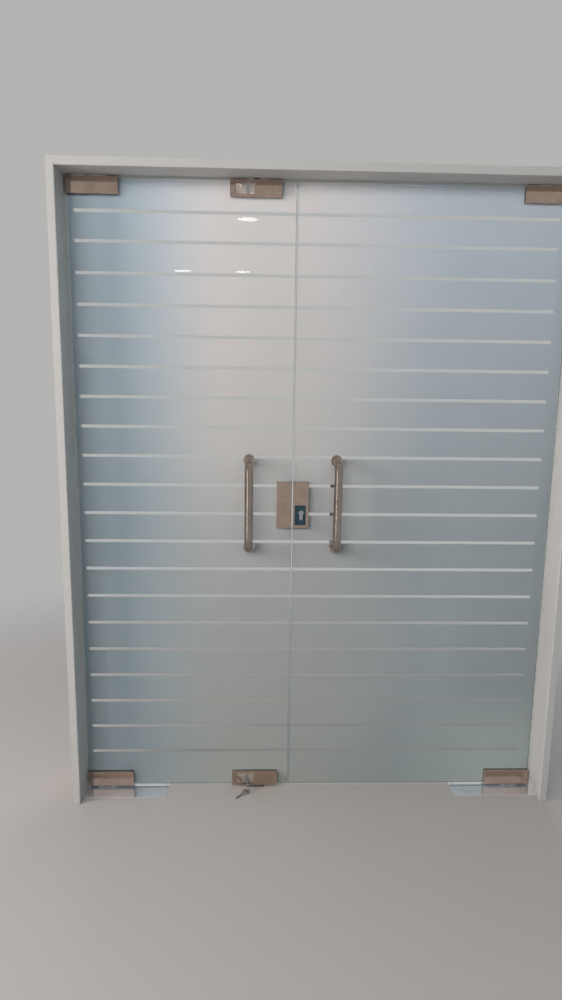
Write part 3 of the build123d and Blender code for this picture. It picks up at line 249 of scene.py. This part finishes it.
def painted_board():
    """Emulsion rolled on boards: stipple, faint patches, runs, scuffed foot, greyer front and rear edges."""
    look = Look("painted_board")
    patches = look.noise(scale=2.2, detail=4.0, roughness=0.6)
    runs = look.noise(scale=5.0, detail=3.0, roughness=0.6, where=look.stretched((9.0, 9.0, 0.5)))
    tone = look.mix(look.span(patches, 0.3, 0.7), PAINT, PAINT_LIGHT)
    tone = look.mix(look.span(runs, 0.45, 0.75, to_low=0.0, to_high=RUN_SHARE), tone, PAINT_RUNS)
    edges = look.span(look.facing("Y"), 0.6, 0.9)
    tone = look.mix(look.math("MULTIPLY", edges, EDGE_SHARE), tone, PAINT_EDGES)
    foot = look.span(look.axis("Z"), 0.0, FOOT_HEIGHT, to_low=1.0, to_high=0.0, smooth=True)
    scuffs = look.span(look.noise(scale=38.0, detail=5.0, roughness=0.7), 0.48, 0.62)
    tone = look.mix(look.math("MULTIPLY", foot, scuffs), tone, PAINT_SCUFFS)
    stipple = look.noise(scale=420.0, detail=2.0, roughness=0.6)
    grain = look.noise(scale=90.0, detail=3.0, roughness=0.6, where=look.stretched((1.0, 1.0, 0.25)))
    normal = look.bump(stipple, distance=0.0004, strength=0.5)
    normal = look.bump(grain, distance=0.0006, strength=0.35, under=normal)
    rough = look.span(patches, 0.3, 0.7, to_low=0.42, to_high=0.58)
    return look.finish(look.surface(color=tone, roughness=rough, normal=normal))


def pane_glass():
    """Clear toughened glass: green ground edges and a faint roller wave."""
    look = Look("toughened_glass")
    edge = look.span(look.facing("Y"), *EDGE_TURN)
    wave = look.noise(scale=1.6, detail=2.0, roughness=0.5, where=look.stretched((1.0, 1.0, 2.5)))
    normal = look.bump(wave, distance=0.0003, strength=0.04)
    ground = look.noise(scale=900.0, detail=2.0, roughness=0.6)
    edge_tone = look.mix(ground, EDGE_DARK, EDGE_LIGHT)
    clear = look.surface(color=GLASS_TINT, roughness=0.0, ior=GLASS_IOR, transmission=1.0, normal=normal)
    rim = look.surface(color=edge_tone, roughness=0.22, ior=GLASS_IOR, transmission=0.35)
    both = put(look.tree, "MixShader", {0: edge, 1: clear, 2: rim}).outputs["Shader"]
    return look.finish(both, lamps_through=THROUGH_GLASS)


def frosted():
    """Matt translucent film with painted light and shade: lighter head, warmer lighter middle, cooler darker
    sides, lighter right foot; smears, tiny specks.
    """
    look = Look("frosted_film")
    height = look.span(look.axis("Z"), *FILM_HEIGHT)
    # Painted light: the film's tone grows lighter towards the head.
    tone = look.ramp(height, FILM_TONES_PAINTED_LIGHTER_UP)
    across = look.axis("X")
    # left and right mask painted shade: cooler, darker sides of the film.
    left = look.span(across, *PAINTED_SHADE_LEFT_SPAN, smooth=True)
    right = look.span(across, *PAINTED_SHADE_RIGHT_SPAN, smooth=True)
    # Painted light: a warmer, lighter middle, stronger higher up.
    warm_light = look.math("SUBTRACT", 1.0, look.math("MAXIMUM", left, right))
    warm_light = look.math("MULTIPLY", warm_light, look.span(height, 0.25, 0.75, smooth=True))
    tone = look.mix(look.math("MULTIPLY", warm_light, PAINTED_WARM_LIGHT_SHARE), tone, FILM_PAINTED_WARM_LIGHT)
    tone = look.mix(look.math("MULTIPLY", left, PAINTED_SHADE_LEFT_SHARE), tone, FILM_PAINTED_SHADE_LEFT)
    tone = look.mix(look.math("MULTIPLY", right, PAINTED_SHADE_RIGHT_SHARE), tone, FILM_PAINTED_SHADE_RIGHT)
    # Painted light: a lighter foot at the right.
    corner_across = look.span(across, *CORNER_ACROSS, smooth=True)
    corner_height = look.span(look.axis("Z"), *CORNER_HEIGHT, smooth=True)
    light_corner = look.math("MULTIPLY", corner_across, corner_height)
    tone = look.mix(look.math("MULTIPLY", light_corner, PAINTED_LIGHT_CORNER_SHARE), tone, FILM_PAINTED_LIGHT_CORNER)
    smears = look.noise(scale=3.0, detail=4.0, roughness=0.62, where=look.stretched((1.0, 1.0, 0.18)))
    tone = look.mix(look.span(smears, 0.5, 0.72, to_low=0.0, to_high=SMEAR_SHARE), tone, FILM_SMEARS)
    specks = look.span(look.noise(scale=230.0, detail=1.0, roughness=0.5), 0.74, 0.78)
    tone = look.mix(look.math("MULTIPLY", specks, SPECK_SHARE), tone, FILM_SPECKS)
    fine = look.noise(scale=1400.0, detail=2.0, roughness=0.5)
    normal = look.bump(fine, distance=0.00003, strength=0.4)
    front = look.surface(color=tone, roughness=0.6, specular=0.2, normal=normal)
    back = put(look.tree, "BsdfTranslucent", {"Color": tone}).outputs["BSDF"]
    both = put(look.tree, "MixShader", {0: FILM_BACK_SHARE, 1: front, 2: back}).outputs["Shader"]
    return look.finish(both, lamps_through=THROUGH_FILM)


def polished(name, bright, dull, wave, rough, wave_scale=11.0):
    """Mirror-polished stainless steel: long wave, hairline scratches, finger smudges; its two tones carry
    painted reflection.
    """
    look = Look(name)
    smudge = look.noise(scale=26.0, detail=4.0, roughness=0.65, distortion=0.6)
    # bright and dull are steel tones with a painted brown reflection in them.
    tone = look.mix(look.span(smudge, 0.35, 0.75), bright, dull)
    hair = look.noise(scale=60.0, detail=2.0, roughness=0.6, where=look.stretched((1.0, 1.0, 26.0)))
    cross = look.noise(scale=60.0, detail=2.0, roughness=0.6, where=look.stretched((26.0, 1.0, 1.0)))
    long_wave = look.noise(scale=wave_scale, detail=2.0, roughness=0.5)
    normal = look.bump(long_wave, distance=0.0016, strength=wave)
    normal = look.bump(hair, distance=0.00006, strength=0.30, under=normal)
    normal = look.bump(cross, distance=0.00005, strength=0.22, under=normal)
    roughness = look.span(smudge, 0.40, 0.72, *rough)
    return look.finish(look.surface(color=tone, metallic=1.0, roughness=roughness, normal=normal))


def dusty_cover():
    """Brushed steel plate under a thin coat of building dust, with a painted bluish reflection in its tone.
    """
    look = Look("floor_cover_steel")
    dust = look.noise(scale=14.0, detail=3.0, roughness=0.55)
    grain = look.noise(scale=60.0, detail=2.0, roughness=0.6, where=look.stretched((1.0, 22.0, 1.0)))
    # The bluish cast of both tones is a painted reflection of the film; the dust mottle is real.
    tone = look.mix(look.span(dust, 0.35, 0.7), *COVER_STEEL_WITH_PAINTED_REFLECTION)
    metallic = look.span(dust, 0.3, 0.7, to_low=0.88, to_high=0.72)
    roughness = look.span(dust, 0.3, 0.7, to_low=0.04, to_high=0.11)
    normal = look.bump(grain, distance=0.00004, strength=0.3)
    return look.finish(look.surface(color=tone, metallic=metallic, roughness=roughness, normal=normal))


def metal(name, bright, dull, scale, rough, depth, metallic=1.0):
    """Cast, turned or plated metal: mottled tone and a fine grain."""
    look = Look(name)
    mottle = look.noise(scale=scale, detail=4.0, roughness=0.6)
    grit = look.noise(scale=scale * GRIT_FINENESS, detail=3.0, roughness=0.65)
    tone = look.mix(look.span(mottle, 0.3, 0.7), bright, dull)
    roughness = look.span(grit, 0.3, 0.7, *rough)
    normal = look.bump(grit, distance=depth, strength=0.6)
    return look.finish(look.surface(color=tone, metallic=metallic, roughness=roughness, normal=normal))


def gasket():
    """Dark fibre sheet."""
    look = Look("gasket")
    fibres = look.noise(scale=700.0, detail=3.0, roughness=0.7)
    tone = look.mix(fibres, *FIBRES)
    normal = look.bump(fibres, distance=0.0001, strength=0.6)
    return look.finish(look.surface(color=tone, roughness=0.85, normal=normal))


def escutcheon():
    """Dark moulded plastic with a teal cast and worn gloss."""
    look = Look("escutcheon")
    cloud = look.noise(scale=70.0, detail=3.0, roughness=0.6)
    tone = look.mix(look.span(cloud, 0.3, 0.7), *DARK_PLATE)
    roughness = look.span(cloud, 0.3, 0.7, to_low=0.16, to_high=0.34)
    fine = look.noise(scale=1200.0, detail=2.0, roughness=0.5)
    normal = look.bump(fine, distance=0.00004, strength=0.5)
    return look.finish(look.surface(color=tone, roughness=roughness, normal=normal))


LOOKS = {
    "painted_board": painted_board(),
    "glass": pane_glass(),
    "frosted_film": frosted(),
    "polished_steel": polished("polished_steel", *STEEL_WITH_PAINTED_REFLECTION, wave=0.14, rough=(0.035, 0.12)),
    "cast_alloy": metal("cast_alloy", *CAST_ALLOY, scale=40.0, rough=(0.34, 0.52), depth=0.0002),
    "gasket": gasket(),
    "fixing_steel": metal("fixing_steel", *FIXING_STEEL, scale=60.0, rough=(0.22, 0.38), depth=0.00008),
    "closer_iron": metal(
        "closer_iron", *CLOSER_IRON, scale=50.0, rough=(0.4, 0.6), depth=0.0003, metallic=0.2
    ),
    "nickelled_brass": metal(
        "nickelled_brass", *NICKELLED_BRASS, scale=80.0, rough=(0.24, 0.38), depth=0.00005
    ),
    "escutcheon": escutcheon(),
}

# Pieces whose metal differs from the look of their slot, with painted reflection in their tones
floor_cover = dusty_cover()
pull_tube = polished("pull_steel", *PULL_STEEL_WITH_PAINTED_REFLECTION, wave=0.05, rough=(0.06, 0.13))
lock_land = polished("lock_land_steel", *LAND_STEEL_WITH_PAINTED_REFLECTION, wave=0.45, rough=(0.04, 0.12), wave_scale=60.0)
SPECIAL = {"top_lock_case": lock_land, "bottom_lock_case": lock_land}
for side in ("left", "right"):
    SPECIAL[f"{side}_floor_cover"] = floor_cover
    for face in ("outside", "inside"):
        SPECIAL[f"{side}_{face}_pull"] = pull_tube

slots = {entry["node"]: entry["material_slot"] for entry in frame["record"]["subparts"]}
for node, piece in frame["nodes"].items():
    piece.data.materials.clear()
    piece.data.materials.append(SPECIAL.get(node, LOOKS[slots[node]]))


def sheet(name, corners, material):
    """A flat stage piece."""
    mesh = bpy.data.meshes.new(name)
    mesh.from_pydata(corners, [], [(0, 1, 2, 3)])
    mesh.materials.append(material)
    piece = bpy.data.objects.new(name, mesh)
    bpy.context.scene.collection.objects.link(piece)


def stage_floor():
    """The plain pale floor, which fades into the backdrop further off."""
    look = Look("stage_floor")
    cloud = look.noise(scale=0.7, detail=2.0, roughness=0.5)
    low, high = [tuple(c * share for c in FLOOR_COLOUR) for share in FLOOR_CLOUD]
    tone = look.mix(cloud, low, high)
    near = look.surface(color=tone, roughness=0.32, specular=0.35)
    far = put(look.tree, "Emission", {"Color": rgba(PALE)}).outputs["Emission"]
    away = put(look.tree, "VectorMath", {0: look.place}, operation="LENGTH").outputs["Value"]
    fade = look.span(away, *FADE, smooth=True)
    fade = look.math("MULTIPLY", fade, shown(look.tree))
    both = put(look.tree, "MixShader", {0: fade, 1: near, 2: far}).outputs["Shader"]
    reach = FLOOR_REACH
    corners = [(-reach, -reach), (reach, -reach), (reach, reach), (-reach, reach)]
    sheet("stage_floor", [(x, y, FLOOR_LEVEL) for x, y in corners], look.finish(both))


def world():
    """Even dim light on the object; the pale backdrop to the camera, to metal and through glass."""
    sky = bpy.data.worlds.new("studio")
    bpy.context.scene.world = sky
    sky.use_nodes = True
    tree = sky.node_tree
    tree.nodes.clear()
    light = put(tree, "Background", {"Color": rgba(WORLD_LIGHT)}).outputs["Background"]
    backdrop = put(tree, "Background", {"Color": rgba(PALE)}).outputs["Background"]
    mixed = put(tree, "MixShader", {0: shown(tree), 1: light, 2: backdrop}).outputs["Shader"]
    out = tree.nodes.new("ShaderNodeOutputWorld")
    tree.links.new(mixed, out.inputs["Surface"])


def lamp(name, place, target, size, power, colour, shape="RECTANGLE"):
    """An area lamp that shines at its target."""
    data = bpy.data.lights.new(name, "AREA")
    data.shape = shape
    data.size, data.size_y = size
    data.energy = power
    data.color = colour
    holder = bpy.data.objects.new(name, data)
    holder.location = place
    holder.rotation_euler = (Vector(target) - Vector(place)).to_track_quat("-Z", "Y").to_euler()
    bpy.context.scene.collection.objects.link(holder)
    return holder


def lamps():
    """Soft lamps that reflections don't show, and a strip and downlights that they do."""
    for name, settings in SOFT_LAMPS.items():
        soft = lamp(name, *settings)
        soft.visible_glossy = soft.visible_transmission = False
        soft.data.cycles.use_multiple_importance_sampling = False
    lamp("strip", *STRIP)
    for x, y, radius in DOWNLIGHTS:
        size = (2 * radius, 2 * radius)
        power = DOWNLIGHT_POWER * radius ** 2
        lamp("downlight", (x, y, CEILING), (x, y, 0.0), size, power, DOWNLIGHT_COLOUR, "ELLIPSE")


def camera():
    """The photograph's camera."""
    yaw, pitch, roll = (math.radians(angle) for angle in (CAMERA_YAW, CAMERA_PITCH, CAMERA_ROLL))
    forward = Vector((math.sin(yaw) * math.cos(pitch), math.cos(yaw) * math.cos(pitch), math.sin(pitch)))
    right = Vector((math.cos(yaw), -math.sin(yaw), 0.0))
    up = right.cross(forward)
    rolled_right = math.cos(roll) * right + math.sin(roll) * up
    rolled_up = math.cos(roll) * up - math.sin(roll) * right
    data = bpy.data.cameras.new("camera")
    data.sensor_fit = "VERTICAL"
    data.sensor_width = data.sensor_height = SENSOR
    data.lens = LENS
    holder = bpy.data.objects.new("camera", data)
    turn = Matrix((rolled_right, rolled_up, -forward)).transposed()
    holder.matrix_world = Matrix.Translation(CAMERA_PLACE) @ turn.to_4x4()
    bpy.context.scene.collection.objects.link(holder)
    bpy.context.scene.camera = holder


stage_floor()
world()
lamps()
camera()

scene = bpy.context.scene
scene.view_settings.view_transform = "Standard"
